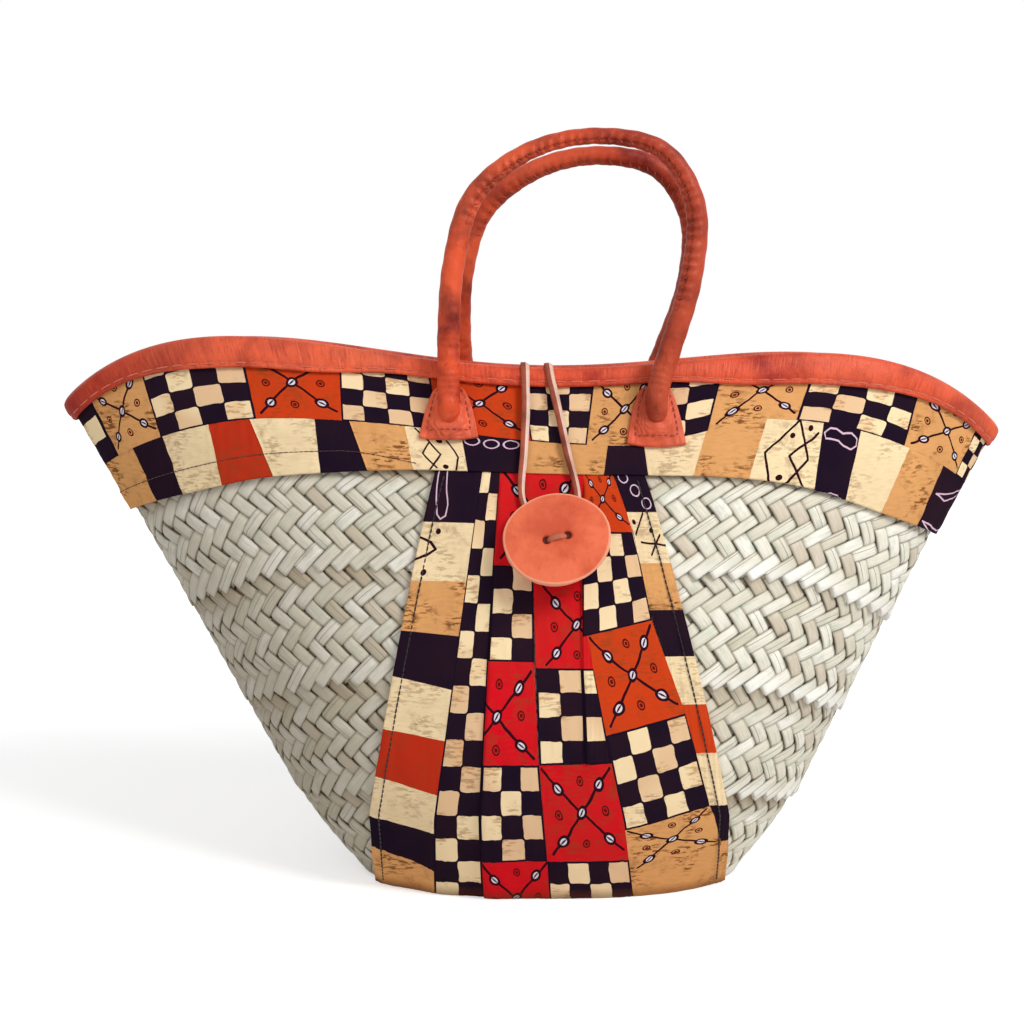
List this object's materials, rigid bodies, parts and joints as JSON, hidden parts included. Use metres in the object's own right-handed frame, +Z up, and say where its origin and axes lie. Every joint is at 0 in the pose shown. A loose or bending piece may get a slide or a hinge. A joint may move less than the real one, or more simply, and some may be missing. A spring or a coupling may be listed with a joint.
{
  "type": "plaited palm market basket",
  "caption": "Plaited palm basket with a boat-shaped mouth, leather rim, two arched rolled handles, printed cloth band and pleated front panel, and a leather button with a loop.",
  "frame": {"origin": "middle of the flat underside of the base", "axes": "+X to the right as seen from the front, along the mouth; -Y to the front, where the button is; +Z up"},
  "size_m": [0.5669, 0.2115, 0.4458],
  "materials": {
    "palm_leaf": "herringbone plait of dried palm leaf, satin",
    "rim_leather": "smooth vegetable-tanned leather with running stitch",
    "handle_leather": "rolled leather, semi-gloss",
    "button_leather": "pale matt leather, slightly domed",
    "thong_leather": "thin brown lace",
    "rope": "twisted fibre cord",
    "printed_cloth": "printed patchwork cotton with checks, stripes and shell crosses"
  },
  "bodies": {
    "basket": {"plaited_base": "palm_leaf", "plait_round_1": "palm_leaf", "plait_round_2": "palm_leaf", "plait_round_3": "palm_leaf", "plait_round_4": "palm_leaf", "plait_round_5": "palm_leaf", "rim_binding": "rim_leather", "cloth_band": "printed_cloth", "cloth_front_panel": "printed_cloth", "front_left_pad": "handle_leather", "front_right_pad": "handle_leather", "back_left_pad": "handle_leather", "back_right_pad": "handle_leather", "button_knot": "thong_leather", "closure_loop": "thong_leather"},
    "front_handle": {"front_handle_sleeve": "handle_leather", "front_handle_core": "rope"},
    "back_handle": {"back_handle_sleeve": "handle_leather", "back_handle_core": "rope"},
    "button_neck": {"button_neck": "thong_leather"},
    "button": {"button_face": "button_leather", "button_backing": "button_leather", "button_tie": "thong_leather"}
  },
  "joints": [
    {"name": "front_handle_swing", "type": "hinge", "parent": "basket", "child": "front_handle", "pos_m": [0, -0.06438, 0.29036], "axis": [1, 0, 0], "range_deg": [0, 90]},
    {"name": "back_handle_swing", "type": "hinge", "parent": "basket", "child": "back_handle", "pos_m": [0, 0.06429, 0.29041], "axis": [-1, 0, 0], "range_deg": [0, 90]},
    {"name": "button_tilt", "type": "hinge", "parent": "basket", "child": "button_neck", "pos_m": [0.00188, -0.08834, 0.21044], "axis": [1, 0, 0], "range_deg": [0, 24]},
    {"name": "button_turn", "type": "hinge", "parent": "button_neck", "child": "button", "pos_m": [0.00188, -0.08834, 0.21044], "axis": [0, -0.8739, 0.4861], "range_deg": [-25, 25]}
  ]
}
